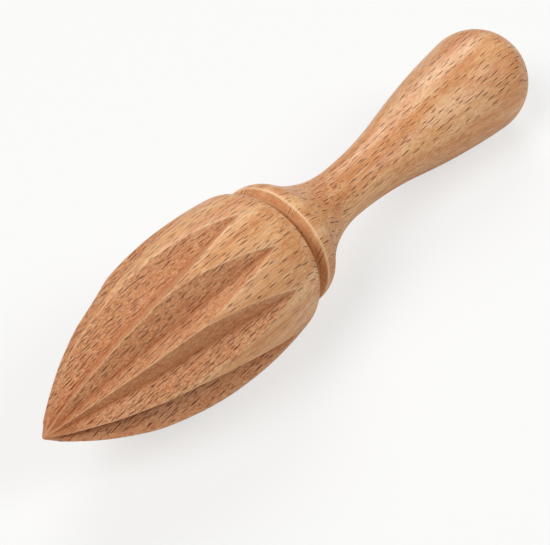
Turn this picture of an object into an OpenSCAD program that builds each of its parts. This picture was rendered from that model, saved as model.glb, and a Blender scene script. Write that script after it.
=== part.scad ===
// Wooden citrus reamer, turned from one piece of beech.
// It is drawn about its own axis, from the tip to the end of the handle,
// and then laid down on its belly and the round end of its handle.

/* [Reamer head] */
// Length of the head, from the tip to the back of its shoulder
head_l = 74.5; // [66:0.5:84]
// Diameter of the head at its belly, its widest place
belly_d = 38.6; // [34:0.2:44]
// Distance from the tip to the belly
belly_x = 52.8; // [46:0.2:56]
// Radius of the blank's round nose, before the flutes cut it to a point
tip_r = 7; // [4:0.5:8]
// Radius of the round shoulder behind the belly
shoulder_r = 7.7; // [5:0.1:9]

/* [Flutes] */
// Number of flutes round the head
flute_n = 10; // [8:1:12]
// Distance from where a flute runs out of the wood to the back of the head
flute_margin = 12.3; // [10:0.1:16]
// Distance of a flute's floor from the axis, beside the tip
flute_tip_r = 0.5; // [0.4:0.1:1.2]
// Distance from the tip to where a flute's floor stops curving and runs straight on
flute_bend_x = 25; // [24:0.5:34]
// Slope of the floor's straight stretch against the axis
flute_rise = 12.9; // [11:0.1:15]
// Angle between the two walls of a flute
flute_angle = 102; // [90:1:112]
// Angle by which a flute runs aslant to the axis
flute_skew = 2.7; // [0:0.1:5]

/* [Collar] */
// Width of the groove between the head and the collar, at its floor
groove_w = 0.9; // [0.8:0.1:2]
// Diameter of the groove's floor
groove_d = 24; // [22:0.2:26]
// Diameter of the collar's rim
rim_d = 31; // [28:0.1:34]
// How far the collar's front face leans back, from its foot to the rim
face_lean = 0.6; // [0.2:0.1:1.2]
// Radius of the rim's rounded edge
rim_r = 0.5; // [0.3:0.1:0.8]
// Radius of the collar's round back
back_r = 6.9; // [5.5:0.1:8.5]
// Slope at which the round back turns into the hollow of the neck
back_angle = 39.5; // [34:0.5:42]

/* [Handle] */
// Length of the handle, from the rim to its round end
handle_l = 93.6; // [84:0.1:110]
// Diameter of the neck at its thinnest
neck_d = 13.2; // [12:0.1:15]
// Radius of the long hollow between the neck and the swell
flare_r = 112; // [100:1:125]
// Slope at which that hollow turns into the swell
flare_angle = 11.7; // [10.5:0.1:13]
// Diameter of the handle's round end
end_d = 26.9; // [24.5:0.1:29]

/* [Hidden] */
$fn = 144;
// Extra reach of a cutting or clipping shape past the surface it works on
reach = 2;

// Head: a round nose, one long arc over the belly, and a round shoulder
belly_r = belly_d / 2;
ogive_r = (pow(belly_x - tip_r, 2) + pow(belly_r, 2) - pow(tip_r, 2)) / (2 * (belly_r - tip_r));
ogive_c = [belly_x, belly_r - ogive_r];
nose_turn = atan2(tip_r - ogive_c.x, -ogive_c.y);
nose_join = arc_point([tip_r, 0], tip_r, nose_turn);
shoulder_turn = asin((head_l - shoulder_r - belly_x) / (ogive_r - shoulder_r));
shoulder_c = arc_point(ogive_c, ogive_r - shoulder_r, shoulder_turn);
shoulder_join = arc_point(ogive_c, ogive_r, shoulder_turn);

// Groove and collar
groove_r = groove_d / 2;
foot_x = head_l + groove_w;
groove_back = [shoulder_c.x + sqrt(pow(shoulder_r, 2) - pow(groove_r - shoulder_c.y, 2)), groove_r];
collar_r = rim_d / 2;
face_turn = atan2(face_lean, collar_r - groove_r);
face_foot = [foot_x, groove_r];
rim_x = foot_x + (collar_r - rim_r - groove_r) * tan(face_turn) + rim_r / cos(face_turn);
rim_c = [rim_x, collar_r - rim_r];
face_join = arc_point(rim_c, rim_r, face_turn - 90);
back_c = [rim_x, collar_r - back_r];
back_join = arc_point(back_c, back_r, back_angle);

// Neck: the cove's radius follows from the collar's back and the neck's size
neck_r = neck_d / 2;
cove_r = (back_join.y - neck_r) / (1 - cos(back_angle));
neck_x = back_join.x + cove_r * sin(back_angle);
cove_c = [neck_x, neck_r + cove_r];

// Swell: its radius follows from where the hollow leaves off and from the round end
total_l = rim_x + handle_l;
end_r = end_d / 2;
end_c = [total_l - end_r, 0];
flare_c = [neck_x, neck_r + flare_r];
flare_join = [neck_x + flare_r * sin(flare_angle), neck_r + flare_r * (1 - cos(flare_angle))];
join_to_end = flare_join - end_c;
swell_r = (end_r * end_r - join_to_end * join_to_end)
    / (2 * (join_to_end * [sin(flare_angle), -cos(flare_angle)] + end_r));
swell_c = flare_join + swell_r * [sin(flare_angle), -cos(flare_angle)];
end_turn = atan2(end_c.x - swell_c.x, end_c.y - swell_c.y);
end_join = arc_point(end_c, end_r, end_turn);

// Flutes: a floor rises along an arc from beside the tip, and then straight out of the wood.
// The two stretches meet at a very flat angle, so that their cuts cross cleanly.
flute_crease = 1.5;
flute_start = [0, flute_tip_r];
flute_end_x = head_l - flute_margin;
flute_end = [flute_end_x, arc_height(ogive_c, ogive_r, flute_end_x)];
flute_bend = [flute_bend_x, flute_end.y - (flute_end_x - flute_bend_x) * tan(flute_rise)];
flute_half = norm(flute_bend - flute_start) / 2;
flute_slope = atan2(flute_bend.y - flute_start.y, flute_bend.x - flute_start.x);
flute_half_turn = flute_slope - flute_rise - flute_crease;
flute_path_r = flute_half / sin(flute_half_turn);
flute_c = (flute_start + flute_bend) / 2
    + flute_path_r * cos(flute_half_turn) * [sin(flute_slope), -cos(flute_slope)];
// Turn by which the curved cut runs past both its ends, and length by which the straight one does
flute_overrun = 1;
flute_overlap = 3;
// Fineness of the curved cut, a short stretch of a large circle
flute_fn = 720;
// Height of the cutter, more than a flute is deep
flute_wall = belly_r * 0.62;
// The cutter stands aslant at the tip, and is turned back so that a flute is in its place at the belly
flute_belly_r = flute_bend.y + (belly_x - flute_bend.x) * tan(flute_rise);
flute_lag = atan(belly_x * tan(flute_skew) / flute_belly_r);
// The flutes were spaced by eye: how far each one is off an even spacing, in degrees
flute_offsets = [2, 0, -3, 0, 3, 0, 0, 0, 0, -4];

// Rest: the line that touches both the belly and the round end is the ground
rest_span = [end_c.x - ogive_c.x, -ogive_c.y];
rest_tilt = atan2(rest_span.x, rest_span.y) - acos((ogive_r - end_r) / norm(rest_span));
rest_height = end_c.x * sin(rest_tilt) + end_r;
rest_mid = (end_c.x * cos(rest_tilt) + end_r + tip_r * cos(rest_tilt) - tip_r) / 2;

// A point on an arc, whose angle is counted from straight out towards the handle
function arc_point(c, r, turn) = c + r * [sin(turn), cos(turn)];
// Height of the upper side of a circle over a place on the axis
function arc_height(c, r, x) = c.y + sqrt(r * r - pow(x - c.x, 2));

// Half the section of the blank: straight lines between the places where arcs meet,
// a slice of a disc over each round stretch, and a disc cut out of each hollow one
module blank_outline() {
    difference() {
        union() {
            polygon([
                [end_c.x, 0],
                end_join,
                flare_join,
                back_join,
                [rim_x, collar_r],
                face_join,
                face_foot,
                groove_back,
                shoulder_join,
                nose_join,
                [tip_r, 0]
            ]);
            slice([tip_r, 0], tip_r, 0, 2 * tip_r);
            slice(ogive_c, ogive_r, nose_join.x, shoulder_join.x);
            slice(shoulder_c, shoulder_r, shoulder_join.x, head_l);
            slice(rim_c, rim_r, face_join.x, rim_x);
            slice(back_c, back_r, rim_x, back_join.x);
            slice(swell_c, swell_r, flare_join.x, end_join.x);
            slice(end_c, end_r, end_c.x - end_r, total_l);
        }
        slice(cove_c, cove_r, back_join.x, neck_x);
        slice(flare_c, flare_r, neck_x, flare_join.x);
    }
}

// The part of a disc that lies between two places on the axis, on one side of it
module slice(c, r, x0, x1) {
    intersection() {
        translate(c) circle(r);
        translate([x0, 0]) square([x1 - x0, belly_r + reach]);
    }
}

module turned_blank() {
    rotate([0, 90, 0])
        rotate_extrude()
            mirror([1, 0])
                rotate([0, 0, 90])
                    blank_outline();
}

// The cutter's section: a V whose point is the flute's floor, open away from the axis
module flute_section(floor_r) {
    half_width = flute_wall * tan(flute_angle / 2);
    polygon([
        [floor_r, 0],
        [floor_r + flute_wall, -half_width],
        [floor_r + flute_wall, half_width]
    ]);
}

// The curved cut swings round a centre on the far side of the axis
module curved_cut() {
    sweep = 2 * flute_half_turn + 2 * flute_overrun;
    translate([flute_c.x, 0, flute_c.y])
        rotate([90, 0, 0])
            rotate([0, 0, 90 + flute_slope - flute_half_turn - flute_overrun])
                rotate_extrude(angle = sweep, $fn = flute_fn)
                    flute_section(flute_path_r);
}

// The straight cut starts a little before the curved one ends
module straight_cut() {
    run = norm(flute_end - flute_bend) + 4 * flute_overlap;
    translate([flute_bend.x, 0, flute_bend.y])
        rotate([0, 90 - flute_rise, 0])
            translate([0, 0, -flute_overlap])
                linear_extrude(run)
                    rotate(180)
                        flute_section(0);
}

// Turns a cut into the place of one flute
module at_flute(i) {
    turn = 360 / flute_n * i + flute_offsets[i % len(flute_offsets)];
    rotate([turn - flute_lag, 0, 0])
        rotate([0, 0, -flute_skew])
            children();
}

// The head with its first few flutes cut, one after another
module fluted_blank(flutes) {
    if (flutes == 0)
        turned_blank();
    else
        difference() {
            fluted_blank(flutes - 1);
            at_flute(flutes - 1) curved_cut();
            at_flute(flutes - 1) straight_cut();
        }
}

module reamer() {
    color([0.80, 0.56, 0.36])
        translate([-rest_mid, 0, rest_height])
            rotate([0, rest_tilt, 0])
                fluted_blank(flute_n);
}

reamer();
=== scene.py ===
# Wooden citrus reamer: the looks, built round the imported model.
# One piece of turned beech, so one mesh stands for the node called reamer.
import math

import bpy
import numpy as np
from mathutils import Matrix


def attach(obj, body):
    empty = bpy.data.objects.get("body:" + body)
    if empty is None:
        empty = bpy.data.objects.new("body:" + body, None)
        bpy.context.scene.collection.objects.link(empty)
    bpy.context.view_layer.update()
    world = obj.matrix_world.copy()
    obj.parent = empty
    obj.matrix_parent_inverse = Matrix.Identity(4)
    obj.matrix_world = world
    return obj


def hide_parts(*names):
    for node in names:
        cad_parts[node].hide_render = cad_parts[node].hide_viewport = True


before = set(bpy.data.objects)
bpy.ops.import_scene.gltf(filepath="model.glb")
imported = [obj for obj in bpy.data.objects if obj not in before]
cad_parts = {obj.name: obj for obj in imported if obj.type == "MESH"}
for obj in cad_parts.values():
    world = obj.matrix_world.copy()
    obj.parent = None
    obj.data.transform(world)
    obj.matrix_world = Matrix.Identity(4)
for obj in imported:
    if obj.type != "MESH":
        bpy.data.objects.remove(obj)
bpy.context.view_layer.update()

# Sizes of the turned blank in millimetres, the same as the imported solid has
HEAD_LENGTH = 74.5
BELLY_RADIUS = 19.3
BELLY_PLACE = 52.8
NOSE_RADIUS = 7.0
SHOULDER_RADIUS = 7.7
GROOVE_WIDTH = 0.9
GROOVE_RADIUS = 12.0
COLLAR_RADIUS = 15.5
FACE_LEAN = 0.6
RIM_ROUNDING = 0.5
BACK_ROUNDING = 6.9
BACK_ANGLE = math.radians(39.5)
HANDLE_LENGTH = 93.6
NECK_RADIUS = 6.6
FLARE_RADIUS = 112.0
FLARE_ANGLE = math.radians(11.7)
END_RADIUS = 13.45

# Flutes: places and radii in millimetres; the offsets are degrees off an even spacing
FLUTES = 10
FLUTE_MARGIN = 12.3
FLUTE_TIP_RADIUS = 0.5
FLUTE_BEND_PLACE = 25.0
FLUTE_RISE = math.radians(12.9)
FLUTE_CREASE = math.radians(1.5)
FLUTE_HALF_ANGLE = math.radians(51)
FLUTE_SKEW = math.radians(2.7)
FLUTE_OFFSETS = (2, 0, -3, 0, 3, 0, 0, 0, 0, -4)

# What use and sanding do to the sharp lines, in millimetres
WORN_TIP_RADIUS = 0.7
WORN_TIP_TURN = math.radians(-40)
WORN_TIP_END = 3.0
FLOOR_SOFTNESS = 0.25
RIDGE_SOFTNESS = 0.20
LAND_EDGE_SOFTNESS = 0.30
SANDED_OFF = 0.065

# How wide each mark is, in millimetres: the depth over which a wall comes to look milled,
# then the pale ridges, the dark floors, the pale edges of the lands and the stained tip.
# The pale ridges and lands' edges are partly worn paler and partly painted highlight; the dark floors
# are painted shade
MILLED_DEPTH = 0.3
RIDGE_WIDTH = 0.32
FLOOR_WIDTH = 0.42
EDGE_WIDTH = 0.15
STAINED_TIP = 7.0
# The painted highlights on the collar's face, a line at its foot and one on the rim: half their width,
# their reach past the rim, and the height of the lower one above the groove's floor
FOOT_LINE = 0.35
RIM_LINE = 0.05
FOOT_MARK = 0.9

# Where the floors of the flutes start to flatten towards their ends, and how much each one bends there
# for each millimetre: the first two flutes run out further than the rest
RUN_OUT_PLACE = 50.0
RUN_OUT_BENDS = (0.0080, 0.0080) + (0.0048,) * (FLUTES - 2)

# How the surface is divided: columns round the axis, and steps along it in millimetres
COLUMNS_PER_FLUTE = 48
COLUMNS = FLUTES * COLUMNS_PER_FLUTE
HEAD_STEP = 0.5
HANDLE_STEP = 1.2
FINE_STEP = 0.12

# Millimetres to metres
MM = 0.001
# Least gap between two points of the outline, and how far the tip's last point is set back
SAME_POINT = 1e-6
TIP_SET_BACK = 0.02


def arc(centre, radius, start, stop, step):
    """Points on an arc; an angle is counted from straight out towards the handle."""
    count = max(4, int(abs((stop - start) * radius) / step) + 1)
    turns = np.linspace(start, stop, count)
    return [(centre[0] + radius * math.sin(t), centre[1] + radius * math.cos(t)) for t in turns]


def line(start, stop, step):
    """Points on a straight stretch, about a step apart."""
    count = max(2, int(math.dist(start, stop) / step) + 1)
    return [tuple(p) for p in np.linspace(start, stop, count)]


def joined(*stretches):
    """One outline from stretches that meet end to end."""
    points = [stretches[0][0]]
    for stretch in stretches:
        points += [p for p in stretch if math.dist(p, points[-1]) > SAME_POINT]
    return points


class Blank:
    """The outline of the turned blank, worked out from its sizes."""

    def __init__(self):
        rise = BELLY_RADIUS - NOSE_RADIUS
        reach = BELLY_PLACE - NOSE_RADIUS
        self.ogive_radius = (reach**2 + BELLY_RADIUS**2 - NOSE_RADIUS**2) / (2 * rise)
        self.ogive_centre = (BELLY_PLACE, BELLY_RADIUS - self.ogive_radius)
        self.nose_turn = math.atan2(NOSE_RADIUS - BELLY_PLACE, -self.ogive_centre[1])
        gap = self.ogive_radius - SHOULDER_RADIUS
        self.shoulder_turn = math.asin((HEAD_LENGTH - SHOULDER_RADIUS - BELLY_PLACE) / gap)
        self.shoulder_centre = (
            self.ogive_centre[0] + gap * math.sin(self.shoulder_turn),
            self.ogive_centre[1] + gap * math.cos(self.shoulder_turn),
        )
        self.foot = HEAD_LENGTH + GROOVE_WIDTH
        self.face_turn = math.atan2(FACE_LEAN, COLLAR_RADIUS - GROOVE_RADIUS)
        face_rise = COLLAR_RADIUS - RIM_ROUNDING - GROOVE_RADIUS
        self.rim = (
            self.foot + face_rise * math.tan(self.face_turn) + RIM_ROUNDING / math.cos(self.face_turn),
            COLLAR_RADIUS - RIM_ROUNDING,
        )
        self.back_centre = (self.rim[0], COLLAR_RADIUS - BACK_ROUNDING)
        back = self.on_arc(self.back_centre, BACK_ROUNDING, BACK_ANGLE)
        self.cove_radius = (back[1] - NECK_RADIUS) / (1 - math.cos(BACK_ANGLE))
        self.neck = back[0] + self.cove_radius * math.sin(BACK_ANGLE)
        self.length = self.rim[0] + HANDLE_LENGTH
        self.end_centre = (self.length - END_RADIUS, 0.0)
        flare = (
            self.neck + FLARE_RADIUS * math.sin(FLARE_ANGLE),
            NECK_RADIUS + FLARE_RADIUS * (1 - math.cos(FLARE_ANGLE)),
        )
        away = (flare[0] - self.end_centre[0], flare[1])
        lean = away[0] * math.sin(FLARE_ANGLE) - away[1] * math.cos(FLARE_ANGLE)
        self.swell_radius = (END_RADIUS**2 - away[0] ** 2 - away[1] ** 2) / (2 * (lean + END_RADIUS))
        self.swell_centre = (
            flare[0] + self.swell_radius * math.sin(FLARE_ANGLE),
            flare[1] - self.swell_radius * math.cos(FLARE_ANGLE),
        )
        self.end_turn = math.atan2(
            self.end_centre[0] - self.swell_centre[0], -self.swell_centre[1]
        )

    @staticmethod
    def on_arc(centre, radius, turn):
        """A point on an arc, by its angle from straight out towards the handle."""
        return (centre[0] + radius * math.sin(turn), centre[1] + radius * math.cos(turn))

    def outline(self):
        """Points from the tip to the round end, both ends on the axis."""
        worn = self.on_arc((WORN_TIP_RADIUS, 0.0), WORN_TIP_RADIUS, WORN_TIP_TURN)
        worn_end = (WORN_TIP_END, worn[1] - (WORN_TIP_END - worn[0]) * math.tan(WORN_TIP_TURN))
        groove_turn = math.acos((GROOVE_RADIUS - self.shoulder_centre[1]) / SHOULDER_RADIUS)
        shoulder = arc(
            self.shoulder_centre, SHOULDER_RADIUS, self.shoulder_turn, groove_turn, HEAD_STEP / 2
        )
        foot = (self.foot, GROOVE_RADIUS)
        face_top = self.on_arc(self.rim, RIM_ROUNDING, self.face_turn - math.pi / 2)
        neck_top = (self.neck, NECK_RADIUS + self.cove_radius)
        flare_top = (self.neck, NECK_RADIUS + FLARE_RADIUS)
        return joined(
            arc((WORN_TIP_RADIUS, 0.0), WORN_TIP_RADIUS, -math.pi / 2, WORN_TIP_TURN, FINE_STEP),
            line(worn, worn_end, HEAD_STEP / 2),
            arc(self.ogive_centre, self.ogive_radius, self.nose_turn, self.shoulder_turn, HEAD_STEP),
            shoulder,
            line(shoulder[-1], foot, FINE_STEP),
            line(foot, face_top, FINE_STEP * 2),
            arc(self.rim, RIM_ROUNDING, self.face_turn - math.pi / 2, 0.0, FINE_STEP),
            arc(self.back_centre, BACK_ROUNDING, 0.0, BACK_ANGLE, HEAD_STEP / 2),
            arc(neck_top, -self.cove_radius, BACK_ANGLE, 0.0, HANDLE_STEP),
            arc(flare_top, -FLARE_RADIUS, 0.0, -FLARE_ANGLE, HANDLE_STEP),
            arc(self.swell_centre, self.swell_radius, -FLARE_ANGLE, self.end_turn, HANDLE_STEP),
            arc(self.end_centre, END_RADIUS, self.end_turn, math.pi / 2, HANDLE_STEP / 2),
        )

    def resting(self):
        """Tilt and place of the axis when the blank lies on its belly and its round end."""
        span_x = self.end_centre[0] - self.ogive_centre[0]
        span_z = -self.ogive_centre[1]
        tilt = math.atan2(span_x, span_z) - math.acos(
            (self.ogive_radius - END_RADIUS) / math.hypot(span_x, span_z)
        )
        height = self.end_centre[0] * math.sin(tilt) + END_RADIUS
        far = self.end_centre[0] * math.cos(tilt) + END_RADIUS
        middle = (far + NOSE_RADIUS * math.cos(tilt) - NOSE_RADIUS) / 2
        return tilt, middle, height


def smooth_min(a, b, width):
    """The smaller of two, rounded where they are closer than the width."""
    near = np.maximum(width - np.abs(a - b), 0.0) / width
    return np.minimum(a, b) - near * near * width / 4


# Least lean at which a line from the axis still meets a wall, the turn past which a flute cuts nothing,
# and a radius in millimetres that stands for no wall
LEAST_LEAN = 0.04
FARTHEST_TURN = 1.1
NO_WALL = 3 * BELLY_RADIUS


class Flutes:
    """The V-shaped flutes: a curved and then a straight floor, cut a little aslant.

    The curved stretch is an arc from the tip to the bend, round a centre on the far side of the axis.
    """

    def __init__(self, blank):
        self.end_place = HEAD_LENGTH - FLUTE_MARGIN
        drop = math.sqrt(blank.ogive_radius**2 - (self.end_place - BELLY_PLACE) ** 2)
        self.end_height = blank.ogive_centre[1] + drop
        rise = (self.end_place - FLUTE_BEND_PLACE) * math.tan(FLUTE_RISE)
        bend = np.array((FLUTE_BEND_PLACE, self.end_height - rise))
        start = np.array((0.0, FLUTE_TIP_RADIUS))
        half = np.linalg.norm(bend - start) / 2
        slope = math.atan2(bend[1] - start[1], bend[0] - start[0])
        half_turn = slope - FLUTE_RISE - FLUTE_CREASE
        self.radius = half / math.sin(half_turn)
        out = np.array((math.sin(slope), -math.cos(slope)))
        self.centre = (start + bend) / 2 + self.radius * math.cos(half_turn) * out
        self.lag = self.drift(np.array(BELLY_PLACE))
        self.turns = np.radians([360 / FLUTES * i + FLUTE_OFFSETS[i] for i in range(FLUTES)])

    def floor(self, x, bend=0.0):
        """Distance of the floor from the axis, and its slope, for a bend at its end."""
        away = x - self.centre[0]
        height = np.sqrt(self.radius**2 - away**2)
        straight = self.end_height + (x - self.end_place) * math.tan(FLUTE_RISE)
        run_out = np.maximum(x - RUN_OUT_PLACE, 0.0)
        straight = straight - bend * run_out**2 / 2
        slope = math.tan(FLUTE_RISE) - bend * run_out
        curved = x < FLUTE_BEND_PLACE
        floor = np.where(curved, self.centre[1] + height, straight)
        return floor, np.where(curved, -away / height, slope)

    def drift(self, x):
        """Turn round the axis, from the tip on, that comes of cutting aslant."""
        return np.arctan2(x * math.tan(FLUTE_SKEW), self.floor(x)[0])

    def wall(self, x, turn, bend):
        """Distance from the axis to a flute's walls, at a turn from the cutter's plane."""
        floor, slope = self.floor(x, bend)
        steep = np.sqrt(1 + slope**2) / math.tan(FLUTE_HALF_ANGLE)
        sides = []
        for side in (1, -1):
            lean = np.cos(turn) - side * steep * np.sin(turn) * math.cos(FLUTE_SKEW)
            reach = (floor - side * steep * x * math.sin(FLUTE_SKEW)) / np.maximum(lean, LEAST_LEAN)
            sides.append(np.where(lean > LEAST_LEAN, reach, NO_WALL))
        walls = -smooth_min(-sides[0], -sides[1], FLOOR_SOFTNESS)
        return np.where(np.abs(turn) < FARTHEST_TURN, walls, NO_WALL)

    def columns(self, x):
        """Turn of every column of the surface, so that the columns follow the flutes."""
        gaps = np.diff(np.append(self.turns, self.turns[0] + 2 * math.pi))
        share = np.arange(COLUMNS_PER_FLUTE) / COLUMNS_PER_FLUTE
        even = (self.turns[:, None] + gaps[:, None] * share[None, :]).reshape(-1)
        return even[None, :] + (self.drift(np.minimum(x, HEAD_LENGTH)) - self.lag)

    def walls(self, x, turns):
        """The two lowest walls at each point: of the flute that is cut there, and of its neighbour."""
        away = turns[None] - (self.turns - self.lag)[:, None, None]
        away = (away + math.pi) % (2 * math.pi) - math.pi
        bends = np.array(RUN_OUT_BENDS)[:, None, None]
        every = np.sort(self.wall(x[None], away, bends), axis=0)
        return every[0], every[1]


def wave(x, turn, waves):
    """A slow unevenness, as a lathe and a sanding belt leave it."""
    total = np.zeros(np.broadcast(x, turn).shape)
    for length, lobes, phase, size in waves:
        total += size * np.sin(2 * math.pi * x / length + lobes * turn + phase)
    return total


# Waves of the surface: length in millimetres, lobes round the axis, phase, and height in millimetres
TURNED_WAVES = ((31.0, 2, 0.4, 0.020), (19.0, -3, 1.9, 0.014), (47.0, 1, 4.0, 0.020))
MILLED_WAVES = ((13.0, 5, 0.9, 0.022), (8.3, -7, 2.2, 0.015), (23.0, 3, 5.1, 0.030))


def shape(blank):
    """The outline's rows, then each point's radius, its turn, and how far each mark goes: milling, wear
    and stain, and painted shade and highlights.
    """
    rows = np.array(blank.outline())[1:-1]
    x = rows[:, 0][:, None]
    flutes = Flutes(blank)
    turns = flutes.columns(x)
    full = rows[:, 1][:, None] - SANDED_OFF
    full = full + wave(x, turns, TURNED_WAVES) * np.minimum(full / BELLY_RADIUS, 1.0)
    own, other = flutes.walls(x, turns)
    walls = smooth_min(own, other, RIDGE_SOFTNESS) + wave(x, turns, MILLED_WAVES)
    in_head = x < HEAD_LENGTH - FLUTE_MARGIN / 2
    radius = np.where(in_head, smooth_min(full, walls, LAND_EDGE_SOFTNESS), full)
    # Turn from each column to the nearest flute's floor
    column = np.arange(COLUMNS) % COLUMNS_PER_FLUTE
    to_floor = np.minimum(column, COLUMNS_PER_FLUTE - column) * (2 * math.pi / COLUMNS)
    depth = np.clip((full - walls) / MILLED_DEPTH + 0.5, 0.0, 1.0) * in_head
    # On the collar's face, painted highlights: a pale line at the foot, and the rim's outer third
    on_face = (rows[:, 0] > blank.foot - FOOT_LINE) & (rows[:, 0] < blank.rim[0] + RIM_LINE)
    foot = on_face & (np.abs(rows[:, 1] - GROOVE_RADIUS - FOOT_MARK) < FOOT_LINE)
    rounded = on_face & (rows[:, 1] > COLLAR_RADIUS - RIM_ROUNDING / 3)
    marks_and_painted_light = {
        "milled": depth,
        # Ridges and lands' edges: partly worn paler, partly painted highlight
        "ridge": np.exp(-(((own - other) / RIDGE_WIDTH) ** 2)) * depth,
        # Painted shade along the flutes' floors
        "floor": np.exp(-((radius * to_floor[None, :] / FLOOR_WIDTH) ** 2)) * depth,
        "edge": np.exp(-(((full - walls) / EDGE_WIDTH) ** 2)) * in_head,
        "tip": np.broadcast_to(np.exp(-((x / STAINED_TIP) ** 2)), radius.shape),
        # Painted highlights on the collar's rim and the line at its foot
        "rim": np.repeat((foot | rounded).astype(float)[:, None], COLUMNS, axis=1),
    }
    return rows, radius, turns, marks_and_painted_light


def laid_down(points, tilt, middle, height):
    """Points in the blank's own frame, moved to where they are as the reamer lies."""
    moved = np.empty_like(points)
    moved[:, 0] = points[:, 0] * math.cos(tilt) + points[:, 2] * math.sin(tilt) - middle
    moved[:, 1] = points[:, 1]
    moved[:, 2] = points[:, 2] * math.cos(tilt) - points[:, 0] * math.sin(tilt) + height
    return moved


def skin(count):
    """Faces between the columns of neighbouring rows, and a fan of them at each end."""
    faces = []
    for row in range(count - 1):
        here, there = row * COLUMNS, (row + 1) * COLUMNS
        for column in range(COLUMNS):
            after = (column + 1) % COLUMNS
            faces.append((here + column, here + after, there + after, there + column))
    tip, end = count * COLUMNS, count * COLUMNS + 1
    last = (count - 1) * COLUMNS
    for column in range(COLUMNS):
        after = (column + 1) % COLUMNS
        faces.append((tip, after, column))
        faces.append((end, last + column, last + after))
    return faces


def reamer_mesh():
    """The reamer's surface as it lies, and how it lies: tilt in radians, middle and height in metres."""
    blank = Blank()
    outline = blank.outline()
    rows, radius, turns, marks_and_painted_light = shape(blank)
    tilt, middle, height = blank.resting()
    places = np.minimum(rows[:, 0], blank.length - SANDED_OFF)
    along = np.broadcast_to(places[:, None], radius.shape)
    points = np.stack([along, -radius * np.sin(turns), radius * np.cos(turns)], axis=2).reshape(-1, 3)
    ends = np.array([[outline[0][0] + TIP_SET_BACK, 0, 0], [outline[-1][0] - SANDED_OFF, 0, 0]])
    points = laid_down(np.vstack([points, ends]), tilt, middle, height)
    mesh = bpy.data.meshes.new("reamer_wood")
    mesh.from_pydata((points * MM).tolist(), [], skin(len(rows)))
    for name, values in marks_and_painted_light.items():
        layer = mesh.attributes.new(name, "FLOAT", "POINT")
        layer.data.foreach_set("value", np.append(values.reshape(-1), (0.0, 0.0)).astype(np.float32))
    mesh.validate()
    mesh.shade_smooth()
    return mesh, (tilt, middle * MM, height * MM)


# Places of the colour sockets on a Mix node, and of the mixed colour
FIRST_COLOUR = 6
SECOND_COLOUR = 7
MIXED_COLOUR = 2


class Graph:
    """A short way to write a material's nodes."""

    def __init__(self, tree):
        self.tree = tree
        tree.nodes.clear()

    def fill(self, socket, value):
        """Links a socket to another node's output, or sets its number or colour."""
        if hasattr(value, "is_output"):
            self.tree.links.new(value, socket)
        else:
            socket.default_value = value

    def node(self, kind, inputs=None, **settings):
        made = self.tree.nodes.new(kind)
        for name, value in settings.items():
            setattr(made, name, value)
        for name, value in (inputs or {}).items():
            self.fill(made.inputs[name], value)
        return made

    def math(self, operation, *values, clamp=False):
        inputs = dict(enumerate(values))
        return self.node("ShaderNodeMath", inputs, operation=operation, use_clamp=clamp).outputs[0]

    def times(self, first, second):
        return self.math("MULTIPLY", first, second)

    def vector(self, operation, *values):
        made = self.node("ShaderNodeVectorMath", dict(enumerate(values)), operation=operation)
        return made.outputs[0]

    def noise(self, place, along, across, detail=2.0, roughness=0.5):
        """Noise drawn out along the grain; the waves are counted for each metre along and across it."""
        scaled = self.vector("MULTIPLY", place, (along, across, across))
        inputs = {"Vector": scaled, "Scale": 1.0, "Detail": detail, "Roughness": roughness}
        return self.node("ShaderNodeTexNoise", inputs).outputs[0]

    def span(self, value, low, high, start=0.0, stop=1.0):
        """A value between low and high as one between start and stop, and no further."""
        made = self.node(
            "ShaderNodeMapRange",
            {"Value": value, "From Min": low, "From Max": high, "To Min": start, "To Max": stop},
        )
        return made.outputs[0]

    def mix(self, factor, first, second):
        """Two colours mixed; each is a node's output or three numbers."""
        made = self.node("ShaderNodeMix", {"Factor": factor}, data_type="RGBA")
        for place, colour in ((FIRST_COLOUR, first), (SECOND_COLOUR, second)):
            self.fill(made.inputs[place], colour if hasattr(colour, "is_output") else (*colour, 1.0))
        return made.outputs[MIXED_COLOUR]


# Angle between straight up and the tree's radial direction, towards the camera's side
RADIAL_LEAN = math.radians(20)
# How far below the blank the middle of the tree was, and the width of a growth ring, in metres
PITH_DEPTH = 0.070
RING_WIDTH = 0.0031
# How far the rings waver, as a share of their width, and the grain to the side, in metres
RING_WOBBLE = 1.3
SWAY = 0.0022

# The wood's rays, in metres: the cell that holds a fleck, and half a fleck's length and width;
# then the share of cells that have one, and a shift that keeps the long and the short ones apart
LONG_FLECKS = {
    "cell": (0.0036, 0.00125),
    "half_length": 0.00150,
    "half_width": 0.000112,
    "share": 0.95,
    "shift": (0.37, 0.53, 0.0),
}
SHORT_FLECKS = {
    "cell": (0.0026, 0.00098),
    "half_length": 0.00085,
    "half_width": 0.000095,
    "share": 0.80,
    "shift": (1.85, 2.65, 0.0),
}
# How much the flecks differ in length and strength, how soft their edges are, and how far
# the paler wood reaches beside them, as shares of a fleck
FLECK_SIZES = (0.60, 1.35)
FLECK_STRENGTHS = (0.85, 1.0)
FLECK_SOFTNESS = 0.12
FLECK_HALO = 1.6
# Share of the flecks where they are sparsest, and where they are densest
FLECK_CROWDS = (0.55, 1.0)
# Stretch of the axis, in metres from the tip, over which they get sparser, and their share on the handle
SPARSER = (0.100, 0.125)
HANDLE_SHARE = 0.72
# Strength of the short flecks where the wood is sanded and not milled
SHORT_ON_SANDED = 0.45
# Facing along the grain from which the wood looks like end grain, and the flecks' strength there
END_GRAIN_FROM = 0.80
FLECKS_ON_END = 0.85
# Facings across the rays between which the flecks fade, and their strength on the far side
SIDE_ON = (0.66, 0.95)
FLECKS_ON_SIDE = 0.12

# Colours as they look under plain light
WOOD_PALE = (0.950, 0.555, 0.248)
WOOD_DEEP = (0.700, 0.270, 0.085)
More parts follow.
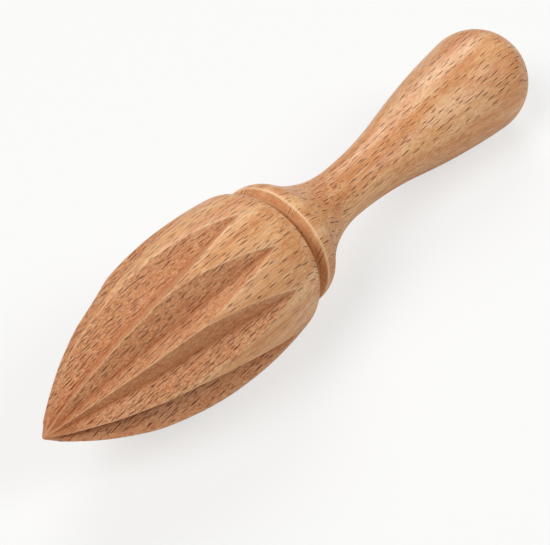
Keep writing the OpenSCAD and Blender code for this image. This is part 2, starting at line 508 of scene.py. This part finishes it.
# Also painted into the flutes' floors as shade
WOOD_RED = (0.480, 0.140, 0.040)
WOOD_MILLED = (0.640, 0.250, 0.105)
# Pale wood for paler streaks and worn wood, and also painted highlights on the ridges, the lands' edges
# and the collar's rim
WOOD_WORN_AND_GLINT = (0.970, 0.680, 0.400)
FLECK = (0.165, 0.022, 0.000)

# Strength of the reflections: oiled wood is duller than lacquer
SHEEN = 0.40
# Roughness of the sanded wood, from the smoothest fibres to the roughest
SATIN = (0.32, 0.42)
# Height of the fibres' relief, in metres
RELIEF = 0.00014

# The marks that the mesh carries: milling, wear and stain, and painted shade and highlights
MARKS_AND_PAINTED_LIGHT = ("milled", "ridge", "floor", "edge", "rim", "tip")


def worn(graph, name):
    """How strong one of the mesh's marks is at a place, from 0 to 1; some are milling, wear and stain,
    others painted shade and painted highlights.
    """
    return graph.node("ShaderNodeAttribute", attribute_name=name).outputs["Fac"]


def grain_frame(graph, lie):
    """Place and facing in the blank's own frame, turned so that Z is the tree's radial direction."""
    tilt, middle, height = lie
    turn = (RADIAL_LEAN, tilt, 0.0)
    coordinates = graph.node("ShaderNodeTexCoord").outputs
    place = graph.node(
        "ShaderNodeMapping",
        {"Vector": coordinates["Object"], "Location": (-middle, 0.0, height), "Rotation": turn},
        vector_type="TEXTURE",
    )
    facing = graph.node(
        "ShaderNodeMapping",
        {"Vector": coordinates["Normal"], "Rotation": turn},
        vector_type="TEXTURE",
    )
    return place.outputs[0], graph.node("ShaderNodeSeparateXYZ", {"Vector": facing.outputs[0]})


def cut_directions(graph, facing):
    """How far the surface is end grain, and how well the ends of the rays show on it."""
    end_grain = graph.span(graph.math("ABSOLUTE", facing.outputs["X"]), END_GRAIN_FROM, 1.0)
    end_on = graph.span(graph.math("ABSOLUTE", facing.outputs["Y"]), *SIDE_ON, 1.0, FLECKS_ON_SIDE)
    return end_grain, graph.times(end_on, graph.span(end_grain, 0.0, 1.0, 1.0, FLECKS_ON_END))


def swayed(graph, grain):
    """The grain wanders a little to the side as it runs along."""
    slow = graph.noise(grain, 18.0, 30.0, 1.0)
    sway = graph.times(graph.math("SUBTRACT", slow, 0.5), SWAY)
    aside = graph.node("ShaderNodeCombineXYZ", {"Y": sway, "Z": sway})
    return graph.vector("ADD", grain, aside.outputs[0])


def late_wood(graph, grain, parts):
    """Growth rings round the middle of the tree: 1 where a ring ends."""
    across = parts.outputs["Y"]
    deep = graph.math("ADD", parts.outputs["Z"], PITH_DEPTH)
    squares = graph.math("ADD", graph.times(across, across), graph.times(deep, deep))
    rings = graph.times(graph.math("SQRT", squares), 1 / RING_WIDTH)
    wobble = graph.times(graph.noise(grain, 9.0, 90.0), RING_WOBBLE)
    return graph.math("POWER", graph.math("FRACT", graph.math("ADD", rings, wobble)), 3.0)


def flecks(graph, place, crowd, cell, half_length, half_width, share, shift):
    """Short spindles along the grain: a mask of the flecks, and a wider one of the wood beside them."""
    shifted = graph.vector("ADD", place, shift)
    scaled = graph.vector("MULTIPLY", shifted, (1 / cell[0], 1 / cell[1], 0.0))
    cells = graph.node(
        "ShaderNodeTexVoronoi",
        {"Vector": scaled, "Scale": 1.0, "Randomness": 0.85},
        voronoi_dimensions="2D",
        feature="F1",
    )
    offset = graph.vector("SUBTRACT", scaled, cells.outputs["Position"])
    parts = graph.node("ShaderNodeSeparateXYZ", {"Vector": offset})
    chance = graph.node("ShaderNodeSeparateColor", {"Color": cells.outputs["Color"]})
    size = graph.span(chance.outputs["Red"], 0.0, 1.0, *FLECK_SIZES)
    along = graph.math("DIVIDE", graph.times(parts.outputs["X"], cell[0] / half_length), size)
    across = graph.times(graph.math("ABSOLUTE", parts.outputs["Y"]), cell[1] / half_width)
    body = graph.math("SUBTRACT", 1.0, graph.times(along, along))
    spindle = graph.math("SUBTRACT", body, across)
    kept = graph.math("LESS_THAN", chance.outputs["Green"], graph.times(crowd, share))
    strength = graph.times(graph.span(chance.outputs["Blue"], 0.0, 1.0, *FLECK_STRENGTHS), kept)
    inside = graph.times(graph.span(spindle, 0.0, FLECK_SOFTNESS), strength)
    beside = graph.times(graph.span(spindle, -FLECK_HALO, 0.0), strength)
    return inside, beside


def rays(graph, grain, bent, parts, milled, end_on):
    """The dark ends of the wood's rays, and the paler wood beside them."""
    crowd = graph.span(graph.noise(grain, 14.0, 95.0, 1.0), 0.36, 0.52, *FLECK_CROWDS)
    crowd = graph.times(crowd, graph.span(parts.outputs["X"], *SPARSER, 1.0, HANDLE_SHARE))
    long_ones, beside_long = flecks(graph, bent, crowd, **LONG_FLECKS)
    short_ones, beside_short = flecks(graph, bent, crowd, **SHORT_FLECKS)
    short_ones = graph.times(short_ones, graph.span(milled, 0.0, 1.0, SHORT_ON_SANDED, 1.0))
    dark = graph.times(graph.math("MAXIMUM", long_ones, short_ones), end_on)
    beside = graph.times(graph.math("MAXIMUM", beside_long, beside_short), end_on)
    return dark, beside


def beech(lie):
    """Turned beech: streaks and rings along the grain, dark flecks, fine fibres, a satin surface."""
    material = bpy.data.materials.new("beech")
    material.use_nodes = True
    graph = Graph(material.node_tree)
    grain, facing = grain_frame(graph, lie)
    end_grain, end_on = cut_directions(graph, facing)
    bent = swayed(graph, grain)
    parts = graph.node("ShaderNodeSeparateXYZ", {"Vector": bent})
    milled, ridge, floor, edge, rim, tip = (worn(graph, name) for name in MARKS_AND_PAINTED_LIGHT)
    dark, beside = rays(graph, grain, bent, parts, milled, end_on)

    # Streaks of fibres, from broad to fine, then pores, torn fibres and large blotches
    broad = graph.noise(bent, 14.0, 170.0, 3.0, 0.55)
    glow = graph.noise(bent, 26.0, 330.0, 2.0, 0.6)
    streak = graph.noise(bent, 45.0, 700.0, 2.0, 0.6)
    fine = graph.noise(bent, 70.0, 3000.0, 3.0, 0.6)
    pores = graph.noise(bent, 900.0, 5200.0)
    torn = graph.noise(grain, 2200.0, 4300.0, 3.0, 0.75)
    blotch = graph.noise(grain, 22.0, 60.0)
    speckle = graph.times(graph.span(pores, 0.5, 0.72), graph.span(milled, 0.0, 1.0, 0.30, 0.45))
    rough = graph.math("MAXIMUM", milled, graph.times(end_grain, 0.6))
    fuzzy = graph.span(rough, 0.0, 1.0, 0.30, 1.0)

    # Each layer lies over those before it: where it shows, its strength and its colour
    layers = (
        (late_wood(graph, grain, parts), 0.60, WOOD_DEEP),
        (graph.span(streak, 0.50, 0.70), 0.60, WOOD_DEEP),
        (graph.span(blotch, 0.45, 0.75), 0.25, WOOD_RED),
        (graph.span(glow, 0.50, 0.68), 0.40, WOOD_WORN_AND_GLINT),
        (milled, 0.60, WOOD_MILLED),
        (graph.span(fine, 0.50, 0.68), 0.60, WOOD_RED),
        (graph.span(fine, 0.50, 0.32), 0.45, WOOD_WORN_AND_GLINT),
        (speckle, 1.0, WOOD_RED),
        (graph.times(graph.span(torn, 0.50, 0.62), fuzzy), 0.75, WOOD_RED),
        (graph.times(graph.span(torn, 0.50, 0.38), fuzzy), 0.45, WOOD_WORN_AND_GLINT),
        (end_grain, 0.25, WOOD_WORN_AND_GLINT),
        (beside, 0.20, WOOD_WORN_AND_GLINT),
        (dark, 1.0, FLECK),
        # Painted shade: the flutes' floors darkened
        (floor, 0.55, WOOD_RED),
        # Ridges: partly worn paler, partly painted highlight
        (ridge, 0.60, WOOD_WORN_AND_GLINT),
        # Lands' edges: partly worn paler, partly painted highlight
        (edge, 0.45, WOOD_WORN_AND_GLINT),
        # Painted highlights on the collar's rim and the line at its foot
        (rim, 0.60, WOOD_WORN_AND_GLINT),
        (tip, 0.60, WOOD_RED),
    )
    tone = graph.mix(graph.span(broad, 0.34, 0.66), WOOD_DEEP, WOOD_PALE)
    for mask, strength, colour in layers:
        tone = graph.mix(graph.times(mask, strength), tone, colour)

    # The milled walls and the flecks are duller, and the sharp rim is polished
    roughness = graph.span(fine, 0.3, 0.7, *SATIN)
    roughness = graph.math("ADD", roughness, graph.times(milled, 0.30), clamp=True)
    roughness = graph.math("ADD", roughness, graph.times(dark, 0.20), clamp=True)
    roughness = graph.math("SUBTRACT", roughness, graph.times(rim, 0.12), clamp=True)

    # Fibres stand up, most where the cutter tore them, and flecks and pores lie deeper
    relief = graph.times(fine, 0.25)
    relief = graph.math("SUBTRACT", relief, graph.times(dark, 0.6))
    relief = graph.math("SUBTRACT", relief, graph.times(speckle, 0.5))
    relief = graph.math("ADD", relief, graph.times(graph.times(torn, milled), 2.2))
    bump = graph.node("ShaderNodeBump", {"Height": relief, "Strength": 0.6, "Distance": RELIEF})

    look = {
        "Base Color": tone,
        "Roughness": roughness,
        "Specular IOR Level": SHEEN,
        "Normal": bump.outputs[0],
    }
    shader = graph.node("ShaderNodeBsdfPrincipled", look)
    graph.node("ShaderNodeOutputMaterial", {"Surface": shader.outputs[0]})
    return material


# Half the floor's width, in metres
FLOOR_REACH = 2.0
# How much of the floor's own brightness the camera sees without the shadow on it
FLOOR_GLOW = 0.70
PAPER = (0.955, 0.955, 0.945)
# The paper's colour in the light that it throws back on the object
PAPER_BOUNCE = (0.720, 0.710, 0.690)


def paper_floor():
    """A sheet of white paper that takes the shadow."""
    corners = [
        (-FLOOR_REACH, -FLOOR_REACH, 0),
        (FLOOR_REACH, -FLOOR_REACH, 0),
        (FLOOR_REACH, FLOOR_REACH, 0),
        (-FLOOR_REACH, FLOOR_REACH, 0),
    ]
    mesh = bpy.data.meshes.new("floor")
    mesh.from_pydata(corners, [], [(0, 1, 2, 3)])
    floor = bpy.data.objects.new("floor", mesh)
    bpy.context.scene.collection.objects.link(floor)
    material = bpy.data.materials.new("white_paper")
    material.use_nodes = True
    graph = Graph(material.node_tree)
    seen = graph.node("ShaderNodeLightPath").outputs["Is Camera Ray"]
    matt = graph.node("ShaderNodeBsdfDiffuse", {"Color": graph.mix(seen, PAPER_BOUNCE, PAPER)})
    glow = graph.node("ShaderNodeEmission", {"Color": (*PAPER, 1.0), "Strength": 1.0})
    share = graph.times(seen, FLOOR_GLOW)
    both = graph.node("ShaderNodeMixShader", {0: share, 1: matt.outputs[0], 2: glow.outputs[0]})
    graph.node("ShaderNodeOutputMaterial", {"Surface": both.outputs[0]})
    mesh.materials.append(material)


# Strength of the sky's light on the object, and of its reflection in it
SKY_LIGHT = 0.10
SKY_SHEEN = 0.22


def white_world():
    """White behind the object, and a dim, even light on it."""
    world = bpy.data.worlds.new("studio")
    bpy.context.scene.world = world
    world.use_nodes = True
    graph = Graph(world.node_tree)
    path = graph.node("ShaderNodeLightPath")
    mirrored = graph.math("MAXIMUM", path.outputs["Is Glossy Ray"], path.outputs["Is Transmission Ray"])
    dim = graph.span(mirrored, 0.0, 1.0, SKY_LIGHT, SKY_SHEEN)
    strength = graph.math("MAXIMUM", dim, path.outputs["Is Camera Ray"])
    background = graph.node("ShaderNodeBackground", {"Color": (*PAPER, 1.0), "Strength": strength})
    graph.node("ShaderNodeOutputWorld", {"Surface": background.outputs[0]})


# Far lamps: name, direction from the object, strength, and apparent size in degrees
LAMPS = (
    ("left_softbox", (-0.65, 0.08, 0.76), 0.59 * math.pi, 32),
    ("back_softbox", (0.53, 0.54, 0.66), 0.38 * math.pi, 34),
    ("front_softbox", (0.39, -0.62, 0.68), 0.33 * math.pi, 28),
)


def lamp(name, towards, strength, width):
    """A far lamp that shines at the object from a direction."""
    data = bpy.data.lights.new(name, "SUN")
    data.energy = strength
    data.angle = math.radians(width)
    made = bpy.data.objects.new(name, data)
    x, y, z = towards
    made.rotation_euler = (math.atan2(math.hypot(x, y), z), 0.0, math.atan2(x, -y))
    made.location = towards
    bpy.context.scene.collection.objects.link(made)


# The camera that gives the photo's outline: its place in metres, its turn in degrees,
# and its lens and sensor in millimetres
CAMERA_PLACE = (-0.26025, -0.21869, 0.32542)
CAMERA_TURN = (46.532, 2.873, -51.648)
LENS = 130.9
SENSOR_WIDTH = 36.0
# Nearest and farthest distance that the camera sees, in metres
CAMERA_RANGE = (0.01, 20.0)


def camera():
    data = bpy.data.cameras.new("camera")
    data.sensor_fit = "HORIZONTAL"
    data.sensor_width = SENSOR_WIDTH
    data.lens = LENS
    data.clip_start, data.clip_end = CAMERA_RANGE
    made = bpy.data.objects.new("camera", data)
    made.location = CAMERA_PLACE
    made.rotation_euler = tuple(math.radians(a) for a in CAMERA_TURN)
    bpy.context.scene.collection.objects.link(made)
    bpy.context.scene.camera = made


mesh, lie = reamer_mesh()
reamer = bpy.data.objects.new("reamer_wood", mesh)
bpy.context.scene.collection.objects.link(reamer)
mesh.materials.append(beech(lie))
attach(reamer, "root")
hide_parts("reamer")

paper_floor()
white_world()
for one in LAMPS:
    lamp(*one)
camera()
bpy.context.scene.view_settings.view_transform = "Standard"

bpy.context.view_layer.update()
